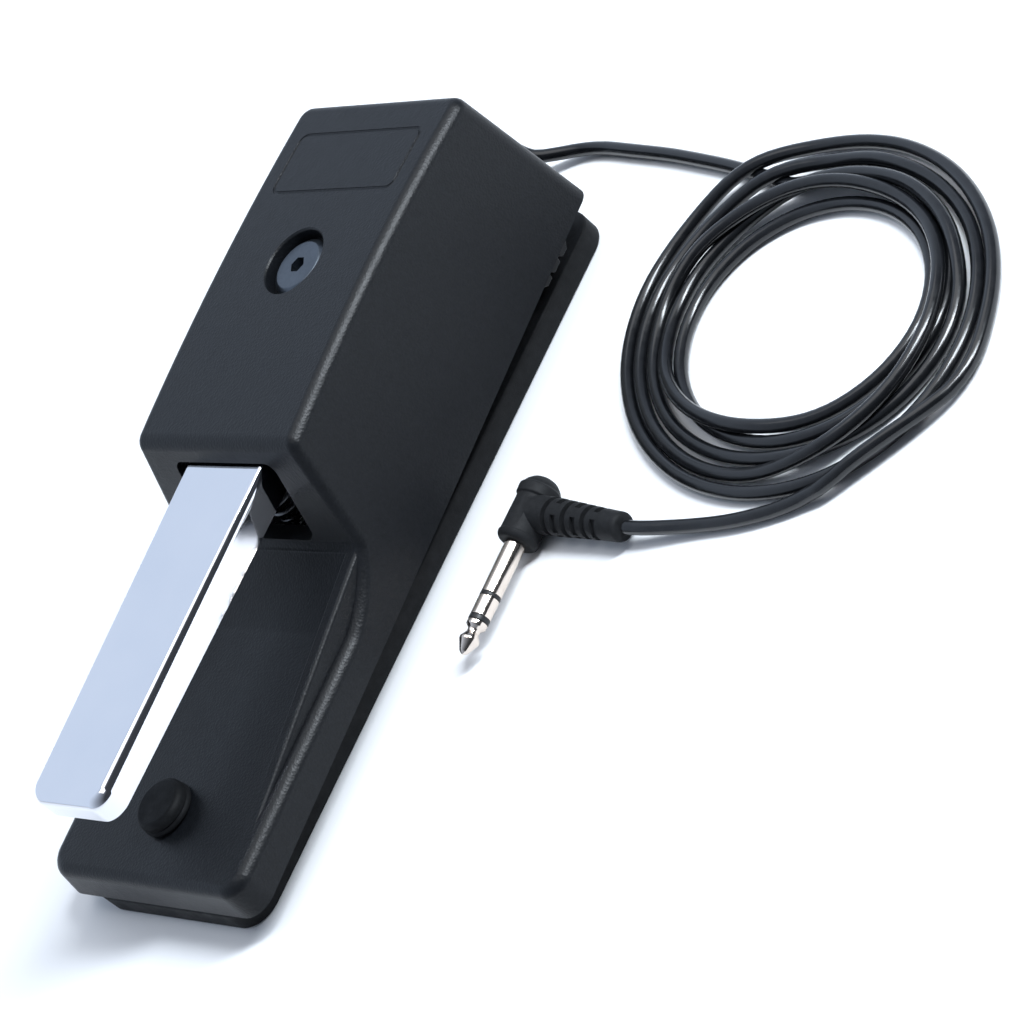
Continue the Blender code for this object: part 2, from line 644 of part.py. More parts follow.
def build_sensor():
    line = math.degrees(math.atan2(SENSOR[1] - PIVOT[1], SENSOR[0] - PIVOT[0]))
    sector = solid("sector_gear", WHITE_NYLON,
                   prism_mesh(gear_outline(PIVOT, SECTOR_PITCH, 44, -4, 3, line, 8.0), *GEAR_X, "X"))
    join(sector, cylinder_mesh((GEAR_X[0] - 0.4, *PIVOT), (GEAR_X[1] + 0.4, *PIVOT), 10.5), "sector_boss")
    cut(sector, cylinder_mesh((20, *PIVOT), (30, *PIVOT), HUB_RADIUS + GAP), "sector_bore")
    pinion = solid("sensor_pinion", WHITE_NYLON,
                   prism_mesh(gear_outline(SENSOR, PINION_PITCH, 12, 0, 11, line + 180 + 15, 0), *GEAR_X, "X"))
    cut(pinion, cylinder_mesh((20, *SENSOR), (26, *SENSOR), 2.8, sides=16), "pinion_bore")
    solid("sensor_shaft", STEEL, cylinder_mesh((21.2, *SENSOR), (31.0, *SENSOR), 2.5, sides=16))
    body = turned("position_sensor", BLACK_PLASTIC, [(0, 3.9), (3.4, 3.9), (3.4, 8.5), (9.5, 8.5)],
                  (25.0, *SENSOR), (1, 0, 0), 20)
    cut(body, cylinder_mesh((24, *SENSOR), (31.4, *SENSOR), 2.8, sides=16), "sensor_bore")


def build_electronics():
    solid("circuit_board", BOARD_GREEN, box_mesh((-30, 12), (193, 220), (BOARD_Z, BOARD_Z + 1.6)))
    for name, x, d in (("right", 8, 198), ("left", -26, 198)):
        foot = chassis_z(d + 3) + CHASSIS_THICK + GAP
        solid(f"board_standoff_{name}", STEEL,
              cylinder_mesh((x, d, foot), (x, d, BOARD_Z - GAP), 2.6, sides=12))
    solid("board_connector", WHITE_NYLON, box_mesh((-26, -14), (208, 217.6), (BOARD_Z + 1.9, BOARD_Z + 7)))
    solid("mode_switch", BLACK_PLASTIC, box_mesh((31, 40.9), SWITCH_D, (21.9, 28.4)))
    low, high = KNOB_D
    teeth = [(low + (high - low) * (0.16 + 0.17 * i), 1.3 * (i % 2)) for i in range(5)]
    outline = [(low, 24.0), (low, 16.4)]
    for d, notch in teeth:
        width = 0.9
        outline += [(d - width, 15.0), (d - width * 0.6, 15.0 + notch), (d + width * 0.6, 15.0 + notch), (d + width, 15.0)]
    outline += [(high, 16.4), (high, 24.0)]
    knob = prism_mesh(outline, -3.6, -1.5, "X")
    for vertex in knob.verts:
        vertex.co.x += half_width(vertex.co.z)
    solid("mode_switch_knob", BLACK_PLASTIC, knob)


# ---------------------------------------------------------------- flap and its hinge
def build_flap():
    bm = prism_mesh(rounded_rectangle(FLAP_HALF, FRONT_D + 0.2, REAR_D, FLAP_CORNER, 6), 0.0, FLAP_THICK, "Z")
    bm.normal_update()
    bevel_edges(bm, lambda e: {abs(f.normal.z) > 0.9 for f in e.link_faces} == {True, False}, 0.8, 1)
    solid("rubber_flap", RUBBER, bm)
    solid("flap_hinge_web", RUBBER, box_mesh((-32, 32), (1.2, 13), (8.0, 8.68)))
    solid("flap_clamp_bar", STEEL, box_mesh((-32, 32), (4.7, 13), (9.0, 10.3)))


# ---------------------------------------------------------------- cable, coil and plug
def build_cable():
    x, z = EXIT
    relief = turned("strain_relief", RUBBER, [(0, 6.4), (1.9, 6.4), (1.9, 4.3), (5.4, 4.3), (5.4, 5.6),
                    (6.6, 5.6), (EXIT_D - 239.4, 3.3)], (x, 239.4, z), (0, 1, 0), 20)
    cut(relief, cylinder_mesh((x, 236, z), (x, 262, z), CABLE / 2 + GAP, sides=16), "relief_bore")
    inner = [(x, EXIT_D, z), (x, 250, z), (x, 241, z), (x, 237, z + 0.4), (x, 233, z + 1.8), (x, 229, z + 3.2),
             (x, 225, z + 4.8), (x, 221.6, z + 6.2), (x, 219.0, z + 6.6)]
    tube("inner_lead", CABLE_SHEATH, smooth_points(inner, CABLE * 2), CABLE)
    clamp = solid("cord_clamp", BLACK_PLASTIC,
                  box_mesh((x - 6, x + 6), (228, 232), (chassis_z(232) + CHASSIS_THICK + GAP, z + 8)))
    cut(clamp, cylinder_mesh((x, 225, z + 4.6), (x, 235, z + 1.1), CABLE / 2 + 0.6, sides=16), "clamp_bore")
    tube("cable_lead", CABLE_SHEATH, smooth_points(LEAD_ROUTE, CABLE * 2), CABLE)
    tube("cable_tail", CABLE_SHEATH, smooth_points(TAIL_ROUTE, CABLE * 2), CABLE)
    build_coil()


def build_coil():
    """The coil's outer shape: a ring turned about Z, then stretched to the coil's oval outline."""
    middle = COIL_HEIGHT / 2
    inner, outer = COIL_OPENING, 1.0
    section = [(inner + 0.06, 0.1), (outer - 0.06, 0.1), (outer, middle * 0.6), (outer, middle * 1.3),
               (outer - 0.08, COIL_HEIGHT), (inner + 0.08, COIL_HEIGHT), (inner, middle * 1.3), (inner, middle * 0.6)]
    bm = bmesh.new()
    sides = 40
    loops = []
    for i in range(sides):
        angle = 2 * math.pi * i / sides
        loops.append([bm.verts.new((r * math.cos(angle), r * math.sin(angle), h)) for r, h in section])
    for here, after in zip(loops, loops[1:] + loops[:1]):
        for i in range(len(section)):
            j = (i + 1) % len(section)
            bm.faces.new((here[i], here[j], after[j], after[i]))
    stretch = Matrix.Diagonal((*COIL_SEMI, 1, 1))
    turn = Matrix.Rotation(math.radians(COIL_ANGLE), 4, "Z")
    bmesh.ops.transform(bm, matrix=Matrix.Translation(place(*COIL_CENTRE, 0)) @ turn @ stretch, verts=bm.verts)
    solid("cable_coil", CABLE_SHEATH, bm)


def build_plug():
    start = (PLUG_X, PLUG_COLLAR_D, PLUG_Z)
    head = turned("plug_body", BLACK_PLASTIC, [(0, 5.6), (1.6, 6.5), (14, 6.4), (18, 6.1),
                  (PLUG_TOP_D - PLUG_COLLAR_D - 1.2, 4.8), (PLUG_TOP_D - PLUG_COLLAR_D, 2.5)], start, (0, 1, 0), 20)
    join(head, cylinder_mesh(BOOT_START, BOOT_END, 5.9, 4.2, 16), "plug_boot")
    reach = 0.1

    def contact(name, look, near, far, radius):
        """A round piece of the plug between two distances from its tip."""
        solid(name, look, cylinder_mesh((PLUG_X, PLUG_TIP_D + near, PLUG_Z), (PLUG_X, PLUG_TIP_D + far, PLUG_Z),
                                        radius, sides=20))

    contact("plug_sleeve", NICKEL, 19.9, PLUG_COLLAR_D - PLUG_TIP_D - reach, PLUG_RADIUS)
    contact("plug_insulator_rear", BLACK_PLASTIC, 18.7, 19.9 - reach, PLUG_RADIUS)
    contact("plug_ring", NICKEL, 12.4, 18.7 - reach, PLUG_RADIUS)
    contact("plug_insulator_front", BLACK_PLASTIC, 10.8, 12.4 - reach, PLUG_RADIUS)
    tip = [(0, 0.7), (0.8, 1.4), (4.2, 3.0), (5.0, 3.1), (7.2, 1.9), (8.2, 2.0), (9.0, 3.1), (10.8 - reach, 3.1)]
    turned("plug_tip", NICKEL, tip, (PLUG_X, PLUG_TIP_D, PLUG_Z), (0, 1, 0), 20)


build_housing()
build_chassis()
build_base_screws()
build_feet()
build_top_screw()
build_lever()
build_pivot()
build_spring()
build_stops()
build_sensor()
build_electronics()
build_flap()
build_cable()
build_plug()
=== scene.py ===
"""Looks of the sustain pedal: high-quality surfaces, the coiled cable, light, floor and camera.

Shapes are worked in millimetres: x across the pedal, d from its front edge, z above the floor.
"""

import json
import math

import bmesh
import bpy
from mathutils import Matrix, Vector

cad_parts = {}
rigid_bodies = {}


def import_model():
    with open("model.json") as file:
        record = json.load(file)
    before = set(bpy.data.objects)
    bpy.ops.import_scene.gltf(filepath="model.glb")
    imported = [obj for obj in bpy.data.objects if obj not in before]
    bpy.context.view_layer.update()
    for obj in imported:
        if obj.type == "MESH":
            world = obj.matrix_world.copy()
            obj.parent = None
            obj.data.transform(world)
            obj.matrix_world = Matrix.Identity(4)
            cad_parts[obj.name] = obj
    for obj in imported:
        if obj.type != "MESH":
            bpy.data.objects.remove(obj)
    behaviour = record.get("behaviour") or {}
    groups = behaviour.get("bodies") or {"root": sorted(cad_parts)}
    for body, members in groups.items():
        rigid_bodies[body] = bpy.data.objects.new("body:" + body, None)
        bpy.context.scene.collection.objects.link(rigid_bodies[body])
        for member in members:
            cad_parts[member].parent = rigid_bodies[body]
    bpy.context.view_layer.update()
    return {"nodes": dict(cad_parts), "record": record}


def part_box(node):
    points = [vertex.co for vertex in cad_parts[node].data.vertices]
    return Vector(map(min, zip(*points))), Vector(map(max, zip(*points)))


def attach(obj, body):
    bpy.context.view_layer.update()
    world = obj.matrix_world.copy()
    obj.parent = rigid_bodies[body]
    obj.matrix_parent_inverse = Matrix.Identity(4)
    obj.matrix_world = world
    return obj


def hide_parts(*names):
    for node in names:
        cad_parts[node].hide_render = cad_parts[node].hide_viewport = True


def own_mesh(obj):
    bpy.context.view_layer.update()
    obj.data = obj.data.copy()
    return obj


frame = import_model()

MM = 0.001
LENGTH = 245.0


# ---------------------------------------------------------------- geometry helpers
def place(x, d, z):
    """A point of the pedal in the millimetre frame that meshes are made in."""
    return Vector((x, d - LENGTH / 2, z))


def helpers_collection():
    made = bpy.data.collections.new("helpers")
    bpy.context.scene.collection.children.link(made)
    return made


HELPERS = helpers_collection()


def mesh_object(bm, name, helper=False):
    """Turns a bmesh in millimetres into an object in metres."""
    bmesh.ops.recalc_face_normals(bm, faces=bm.faces)
    bmesh.ops.scale(bm, vec=(MM, MM, MM), verts=bm.verts)
    mesh = bpy.data.meshes.new(name)
    bm.to_mesh(mesh)
    bm.free()
    made = bpy.data.objects.new(name, mesh)
    (HELPERS if helper else bpy.context.scene.collection).objects.link(made)
    made.hide_render = helper
    return made


def boolean(target, bm, operation, name):
    modifier = target.modifiers.new(name, "BOOLEAN")
    modifier.operation = operation
    modifier.object = mesh_object(bm, name, helper=True)


def cut(target, bm, name):
    boolean(target, bm, "DIFFERENCE", name)


def join(target, bm, name):
    boolean(target, bm, "UNION", name)


def settle(piece, smooth_angle=30):
    """Applies a piece's modifiers and gives it even shading: smooth where faces meet gently."""
    graph = bpy.context.evaluated_depsgraph_get()
    mesh = bpy.data.meshes.new_from_object(piece.evaluated_get(graph))
    piece.modifiers.clear()
    piece.data = mesh
    mesh.shade_smooth()
    mesh.set_sharp_from_angle(angle=math.radians(smooth_angle))
    weights = piece.modifiers.new("even_shading", "WEIGHTED_NORMAL")
    weights.keep_sharp = True
    return piece


def finish_piece(piece, body, slot, look, *nodes):
    """Gives a piece its material and body, and hides the CAD nodes that it stands in for; the slot argument
    is not used.
    """
    piece.data.materials.clear()
    piece.data.materials.append(look)
    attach(piece, body)
    if nodes:
        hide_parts(*nodes)
    return piece


def prism(outline, low, high, normal):
    """An outline extruded along X (points are d, z), Y (points are x, z) or Z (points are x, d)."""
    def spot(a, b, height):
        return {"X": place(height, a, b), "Y": place(a, height, b), "Z": place(a, b, height)}[normal]

    bm = bmesh.new()
    ends = [[bm.verts.new(spot(a, b, height)) for a, b in outline] for height in (low, high)]
    bm.faces.new(ends[0])
    bm.faces.new(ends[1])
    for i in range(len(outline)):
        j = (i + 1) % len(outline)
        bm.faces.new((ends[0][i], ends[0][j], ends[1][j], ends[1][i]))
    bmesh.ops.recalc_face_normals(bm, faces=bm.faces)
    return bm


def box(x, d, z):
    return prism([(x[0], d[0]), (x[1], d[0]), (x[1], d[1]), (x[0], d[1])], z[0], z[1], "Z")


def rounded_rectangle(half_x, low, high, radius, steps=10):
    """A plan outline as (x, d) points with round corners."""
    outline = []
    corners = ((1, low, -90), (1, high, 0), (-1, high, 90), (-1, low, 180))
    for side, end, start in corners:
        x_mid = side * (half_x - radius)
        d_mid = end + radius if end == low else end - radius
        for i in range(steps + 1):
            angle = math.radians(start + 90 * i / steps)
            outline.append((x_mid + radius * math.cos(angle), d_mid + radius * math.sin(angle)))
    return outline


def bevel(bm, chosen, width, segments):
    edges = [edge for edge in bm.edges if len(edge.link_faces) == 2 and chosen(edge)]
    bmesh.ops.bevel(
        bm, geom=edges, offset=width, segments=segments, profile=0.5, affect="EDGES", offset_type="OFFSET",
    )
    bm.normal_update()


def turned(profile, start, direction, sides=64):
    """A solid of revolution: profile is (distance along the axis, radius) from one end to the other."""
    turn = Vector(direction).normalized().to_track_quat("Z", "Y").to_matrix().to_4x4()
    bm = bmesh.new()
    angles = [2 * math.pi * i / sides for i in range(sides)]
    rings = []
    for along, radius in profile:
        if radius == 0:
            rings.append([bm.verts.new((0, 0, along))])
        else:
            rings.append([bm.verts.new((radius * math.cos(a), radius * math.sin(a), along)) for a in angles])
    for lower, upper in zip(rings, rings[1:]):
        for i in range(sides):
            j = (i + 1) % sides
            corners = [
                lower[i % len(lower)], lower[j % len(lower)],
                upper[j % len(upper)], upper[i % len(upper)],
            ]
            bm.faces.new(dict.fromkeys(corners))
    for ring in (rings[0], rings[-1]):
        if len(ring) > 1:
            bm.faces.new(ring)
    bmesh.ops.transform(bm, matrix=Matrix.Translation(place(*start)) @ turn, verts=bm.verts)
    bmesh.ops.recalc_face_normals(bm, faces=bm.faces)
    return bm


def rounded_profile(points, radius, steps=4):
    """A turning profile whose inner corners are rounded by up to the given radius."""
    rounded = [points[0]]
    for before, corner, after in zip(points, points[1:], points[2:]):
        a, b, c = Vector(before), Vector(corner), Vector(after)
        reach = min(radius, (a - b).length * 0.49, (c - b).length * 0.49)
        start, stop = b + (a - b).normalized() * reach, b + (c - b).normalized() * reach
        for i in range(steps + 1):
            t = i / steps
            rounded.append(tuple(start * (1 - t) ** 2 + b * 2 * t * (1 - t) + stop * t**2))
    return [*rounded, points[-1]]


def smooth_points(route, step):
    """Points about a step apart on a Catmull-Rom curve through the route's points."""
    knots = [Vector(point) for point in route]
    knots = [2 * knots[0] - knots[1], *knots, 2 * knots[-1] - knots[-2]]
    points = []
    for p0, p1, p2, p3 in zip(knots, knots[1:], knots[2:], knots[3:]):
        pieces = max(1, round((p2 - p1).length / step))
        for i in range(pieces):
            t = i / pieces
            points.append(
                0.5 * (2 * p1 + (p2 - p0) * t + (2 * p0 - 5 * p1 + 4 * p2 - p3) * t**2
                       + (3 * p1 - p0 - 3 * p2 + p3) * t**3)
            )
    return [*points, knots[-2]]


def round_wire(name, points, diameter, roundness=6):
    curve = bpy.data.curves.new(name, "CURVE")
    curve.dimensions = "3D"
    curve.bevel_depth = diameter / 2 * MM
    curve.bevel_resolution = roundness
    curve.use_fill_caps = True
    line = curve.splines.new("POLY")
    line.points.add(len(points) - 1)
    for knot, point in zip(line.points, points):
        knot.co = (*(place(*point) * MM), 1)
    line.use_smooth = True
    made = bpy.data.objects.new(name, curve)
    bpy.context.scene.collection.objects.link(made)
    return made


# ---------------------------------------------------------------- materials
class Look:
    """A node material on Blender's Principled shader, with small steps that add detail to it."""

    def __init__(self, name, colour, metallic=0.0, specular=0.5, sheen=0.0):
        self.material = bpy.data.materials.new(name)
        self.material.use_nodes = True
        self.tree = self.material.node_tree
        self.shader = self.tree.nodes["Principled BSDF"]
        self.colour = colour
        self.shader.inputs["Base Color"].default_value = (*colour, 1.0)
        self.shader.inputs["Metallic"].default_value = metallic
        self.shader.inputs["Specular IOR Level"].default_value = specular
        self.shader.inputs["Sheen Weight"].default_value = sheen
        self.places = self.tree.nodes.new("ShaderNodeTexCoord").outputs["Object"]
        self.bumped = None

    def node(self, kind, **values):
        made = self.tree.nodes.new(kind)
        for key, value in values.items():
            if key in made.inputs:
                made.inputs[key].default_value = value
            else:
                setattr(made, key, value)
        return made

    def link(self, start, end):
        self.tree.links.new(start, end)

    def stretched(self, stretch):
        mapping = self.node("ShaderNodeMapping")
        mapping.inputs["Scale"].default_value = stretch
        self.link(self.places, mapping.inputs["Vector"])
        return mapping.outputs["Vector"]

    def noise(self, size, detail=3.0, stretch=(1, 1, 1)):
        """A noise texture whose features are about the given size in millimetres."""
        made = self.node("ShaderNodeTexNoise", Scale=1000 / size, Detail=detail, Roughness=0.55)
        self.link(self.stretched(stretch), made.inputs["Vector"])
        return made.outputs["Fac"]

    def cells(self, size):
        """A cell pattern, as in leather grain, whose cells are about the given size in millimetres."""
        made = self.node("ShaderNodeTexVoronoi", Scale=1000 / size)
        self.link(self.places, made.inputs["Vector"])
        return made.outputs["Distance"]

    def ramp(self, value, low, high, start=0.3, end=0.7):
        made = self.node("ShaderNodeMapRange")
        for key, number in zip(("From Min", "From Max", "To Min", "To Max"), (start, end, low, high)):
            made.inputs[key].default_value = number
        self.link(value, made.inputs["Value"])
        return made.outputs["Result"]

    def roughness(self, value, low, high):
        self.link(self.ramp(value, low, high), self.shader.inputs["Roughness"])
        return self

    def tint(self, value, other):
        """Mixes the base colour with another one where the value is high."""
        mix = self.node("ShaderNodeMix", data_type="RGBA")
        for socket in mix.inputs:
            if socket.type == "RGBA":
                socket.default_value = (*(self.colour if socket.name == "A" else other), 1.0)
        self.link(self.ramp(value, 0.0, 1.0), mix.inputs["Factor"])
        colour = next(out for out in mix.outputs if out.type == "RGBA")
        self.link(colour, self.shader.inputs["Base Color"])
        return self

    def bump(self, height, depth, strength=1.0):
        """Adds a bump whose full height is depth millimetres."""
        made = self.node("ShaderNodeBump", Distance=depth * MM, Strength=strength)
        self.link(height, made.inputs["Height"])
        if self.bumped:
            self.link(self.bumped, made.inputs["Normal"])
        self.bumped = made.outputs["Normal"]
        self.link(self.bumped, self.shader.inputs["Normal"])
        return self


def grained_plastic():
    look = Look("housing_plastic", (0.0036, 0.0042, 0.0054), specular=0.24)
    look.bump(look.cells(0.75), 0.06, 0.9).bump(look.noise(0.35, 2.0), 0.02, 0.6)
    look.roughness(look.noise(5.0), 0.37, 0.42)
    return look.tint(look.noise(1.2), (0.0060, 0.0070, 0.0088)).material


def smooth_plastic(name, colour, specular=0.3):
    look = Look(name, colour, specular=specular)
    look.bump(look.noise(0.5), 0.012)
    look.roughness(look.noise(6.0), 0.34, 0.5)
    return look.tint(look.noise(14.0), tuple(1.35 * c for c in colour)).material


def chrome():
    look = Look("lever_chrome", (0.78, 0.78, 0.81), metallic=1.0)
    look.bump(look.noise(26.0, 1.0), 0.035)
    look.roughness(look.noise(4.0), 0.045, 0.085)
    return look.tint(look.noise(30.0), (0.74, 0.75, 0.79)).material


def rubber(name="matt_rubber", colour=(0.0050, 0.0054, 0.0062)):
    look = Look(name, colour, specular=0.16, sheen=0.01)
    look.bump(look.noise(0.6), 0.05).bump(look.noise(5.0), 0.05)
    look.roughness(look.noise(5.0), 0.55, 0.72)
    return look.tint(look.noise(2.0), tuple(1.5 * c for c in colour)).material


def brushed_metal(name, colour, grain=(1, 1, 14), low=0.24, high=0.42):
    look = Look(name, colour, metallic=1.0)
    look.bump(look.noise(1.2, 2.0, grain), 0.008)
    look.roughness(look.noise(1.0, 2.0, grain), low, high)
    return look.tint(look.noise(8.0), tuple(0.82 * c for c in colour)).material


def felt():
    look = Look("stop_felt", (0.10, 0.11, 0.10), specular=0.1, sheen=0.3)
    look.bump(look.noise(0.5, 5.0), 0.2)
    look.roughness(look.noise(1.0), 0.85, 0.98)
    return look.tint(look.noise(0.8), (0.17, 0.18, 0.17)).material


def cable_sheath():
    look = Look("cable_sheath", (0.0030, 0.0034, 0.0042), specular=0.5)
    look.bump(look.noise(1.6, 2.0), 0.012).bump(look.noise(12.0, 1.0), 0.05)
    look.roughness(look.noise(3.0), 0.19, 0.26)
    return look.tint(look.noise(3.0), (0.0060, 0.0066, 0.0080)).material


def nickel():
    look = Look("plug_nickel", (0.74, 0.66, 0.59), metallic=1.0)
    look.bump(look.noise(0.8, 1.0, (1, 12, 1)), 0.004)
    look.roughness(look.noise(2.0), 0.09, 0.17)
    return look.tint(look.noise(6.0), (0.68, 0.60, 0.53)).material


def board():
    look = Look("board_resist", (0.02, 0.12, 0.05), specular=0.5)
    look.bump(look.cells(3.0), 0.03)
    look.roughness(look.noise(4.0), 0.3, 0.45)
    return look.tint(look.cells(2.4), (0.03, 0.17, 0.07)).material


PLASTIC = grained_plastic()
INNER_PLASTIC = smooth_plastic("inner_plastic", (0.012, 0.012, 0.013))
KNOB_PLASTIC = smooth_plastic("knob_plastic", (0.010, 0.0105, 0.0115))
PLUG_PLASTIC = rubber("plug_moulding", (0.0085, 0.0090, 0.0100))
CHROME = chrome()
RUBBER = rubber()
STEEL = brushed_metal("zinc_steel", (0.50, 0.51, 0.52))
SCREW_STEEL = brushed_metal("screw_steel", (0.105, 0.122, 0.145), (1, 1, 1), 0.30, 0.42)
SPRING_STEEL = brushed_metal("spring_steel", (0.16, 0.165, 0.17), (1, 1, 1), 0.25, 0.35)
NYLON = smooth_plastic("natural_nylon", (0.62, 0.60, 0.55), 0.4)
FELT = felt()
SHEATH = cable_sheath()
NICKEL = nickel()
BOARD = board()

SLOT_LOOKS = {
    "black_plastic": INNER_PLASTIC,
    "chrome_plate": CHROME,
    "rubber": RUBBER,
    "zinc_steel": STEEL,
    "screw_steel": SCREW_STEEL,
    "white_nylon": NYLON,
    "felt": FELT,
    "cable_sheath": SHEATH,
    "nickel_contact": NICKEL,
    "circuit_board": BOARD,
}


def dress_cad_nodes():
    """Gives every carried-over CAD node the detailed material of its slot, and smooth shading."""
    slots = {part["node"]: part["material_slot"] for part in frame["record"]["subparts"]}
    for name, node in frame["nodes"].items():
        node.data.materials.clear()
        node.data.materials.append(SLOT_LOOKS[slots[name]])
        node.data.shade_smooth()
        node.data.set_sharp_from_angle(angle=math.radians(35))


# ---------------------------------------------------------------- housing
CREST_Z = 70.2
CREST_D = 195.3
CROWN_RADIUS = 828.0
HALF_WIDTH = 38.0
HALF_WIDTH_Z = 68.8
SIDE_DRAFT = 0.167
WALL = 3.0
FRONT_D = 0.4
REAR_D = 244.6
DECK_Z = 20.8
DECK_SLOPE = 0.0214
DECK_FRONT_D = 1.8
DECK_END_D = 85.0
MOUTH_FOOT = (110.3, 33.8)
MOUTH_LEAN = 0.376
SCREW_D = 184.9
EXIT = (-20.0, 23.0)            # x and z of the cable's hole in the rear wall
FRONT_CORNER = 8.0
REAR_CORNER = 5.0
RIM_BEVEL = 3.4
BADGE_HALF = 28.7
BADGE_D = (210.4, 232.2)
BADGE_CORNER = 3.0
GROOVE_HALF = (0.62, 0.5)       # half the width and half the height of the rod that engraves the line
GROOVE_SIDES = 8
SWITCH_POCKET_D = (206, 231)
SKIN = 1.1                      # plastic left outside the switch pocket


def half_width(z):
    return HALF_WIDTH + SIDE_DRAFT * (HALF_WIDTH_Z - z)


def crown_z(d):
    return CREST_Z - (d - CREST_D) ** 2 / (2 * CROWN_RADIUS)


def skirt_z(d):
    return 9.0 + 0.0381 * d


def mouth_plane_d(z):
    return MOUTH_FOOT[0] + MOUTH_LEAN * (z - MOUTH_FOOT[1])


def parabola(start, end, bulge, steps):
    """Points from start to end on a parabola whose middle lies off the chord by bulge."""
    chord = Vector(end) - Vector(start)
    side = Vector((-chord.y, chord.x)).normalized()
    return [
        tuple(Vector(start) + chord * (i / steps) + side * bulge * 4 * (i / steps) * (1 - i / steps))
        for i in range(1, steps)
    ]


def housing_profile(inset, steps):
    front_d, rear_d = FRONT_D + inset, REAR_D - inset
    deck_end = (DECK_END_D, DECK_Z + DECK_SLOPE * DECK_END_D - inset)
    foot = (MOUTH_FOOT[0] + inset * 1.3, MOUTH_FOOT[1] - inset)
    top_front_d = mouth_plane_d(crown_z(mouth_plane_d(67.0))) + inset
    front_z, rear_z = (skirt_z(front_d), skirt_z(rear_d)) if inset == 0 else (0.0, 0.0)
    outline = [(front_d, front_z), (DECK_FRONT_D + inset, DECK_Z - inset), deck_end]
    outline += parabola(deck_end, foot, -1.7, steps)
    outline.append(foot)
    for i in range(steps + 1):
        d = top_front_d + (rear_d - top_front_d) * i / steps
        outline.append((d, crown_z(d) - inset))
    outline.append((rear_d, rear_z))
    return outline


def housing_block(inset, steps):
    bm = prism(housing_profile(inset, steps), -1.0, 1.0, "X")
    for vertex in bm.verts:
        vertex.co.x *= half_width(vertex.co.z) - inset
    bm.normal_update()
    return bm


def is_wall(face):
    return -0.05 < face.normal.z < 0.25


def upright_at(edge, low_d, high_d):
    ends = [vertex.co.y + LENGTH / 2 for vertex in edge.verts]
    steep = abs(edge.verts[0].co.z - edge.verts[1].co.z) > 6
    return steep and all(is_wall(f) for f in edge.link_faces) and min(ends) > low_d and max(ends) < high_d


def is_rim(edge):
    first, second = edge.link_faces
    return (is_wall(first) and second.normal.z > 0.3) or (is_wall(second) and first.normal.z > 0.3)


def is_brow(edge):
    normals = sorted(face.normal.z for face in edge.link_faces)
    return 0.3 < normals[0] < 0.45 and normals[1] > 0.95 and all(v.co.z > 60 for v in edge.verts)


def gusset(side):
    """Rib from the mouth's lower corner down to the deck, where it dies out near the front."""
    corners = [
        (36.5, 112.0, 32.6), (42.0, 112.0, 32.6), (33.8, 112.0, 21.0), (43.0, 112.0, 21.0),
        (37.6, 20.0, 20.9), (41.6, 20.0, 20.9), (37.0, 20.0, 18.6), (42.0, 20.0, 18.6),
        (42.4, 85.0, 22.2), (42.0, 45.0, 21.2),
    ]
    bm = bmesh.new()
    for x, d, z in corners:
        bm.verts.new(place(side * x, d, z))
    hull = bmesh.ops.convex_hull(bm, input=bm.verts)
    loose = {v for v in hull["geom_interior"] + hull["geom_unused"] if isinstance(v, bmesh.types.BMVert)}
    bmesh.ops.delete(bm, geom=list(loose), context="VERTS")
    bmesh.ops.dissolve_limit(bm, angle_limit=math.radians(3), verts=bm.verts, edges=bm.edges)
    bm.normal_update()
    bevel(bm, lambda edge: edge.calc_face_angle() > math.radians(12), 1.2, 4)
    return bm


def badge_groove():
    """Cutter for the blank panel's engraved outline: a round rod that follows the crowned top."""
    outline = rounded_rectangle(BADGE_HALF, *BADGE_D, BADGE_CORNER, 6)
    dense = []
    for (x0, d0), (x1, d1) in zip(outline, outline[1:] + outline[:1]):
        steps = max(1, round(math.hypot(x1 - x0, d1 - d0) / 3))
        dense += [(x0 + (x1 - x0) * i / steps, d0 + (d1 - d0) * i / steps) for i in range(steps)]
    bm = bmesh.new()
    rings = []
    for i, (x, d) in enumerate(dense):
        ahead, behind = dense[(i + 1) % len(dense)], dense[i - 1]
        side = Vector((ahead[1] - behind[1], behind[0] - ahead[0], 0)).normalized()
        middle = place(x, d, crown_z(d) + 0.12)
        ring = []
        for k in range(GROOVE_SIDES):
            angle = 2 * math.pi * k / GROOVE_SIDES
            lift = Vector((0, 0, GROOVE_HALF[1] * math.sin(angle)))
            ring.append(bm.verts.new(middle + side * GROOVE_HALF[0] * math.cos(angle) + lift))
        rings.append(ring)
    for here, after in zip(rings, rings[1:] + rings[:1]):
        for k in range(GROOVE_SIDES):
            following = (k + 1) % GROOVE_SIDES
            bm.faces.new((here[k], here[following], after[following], after[k]))
    return bm


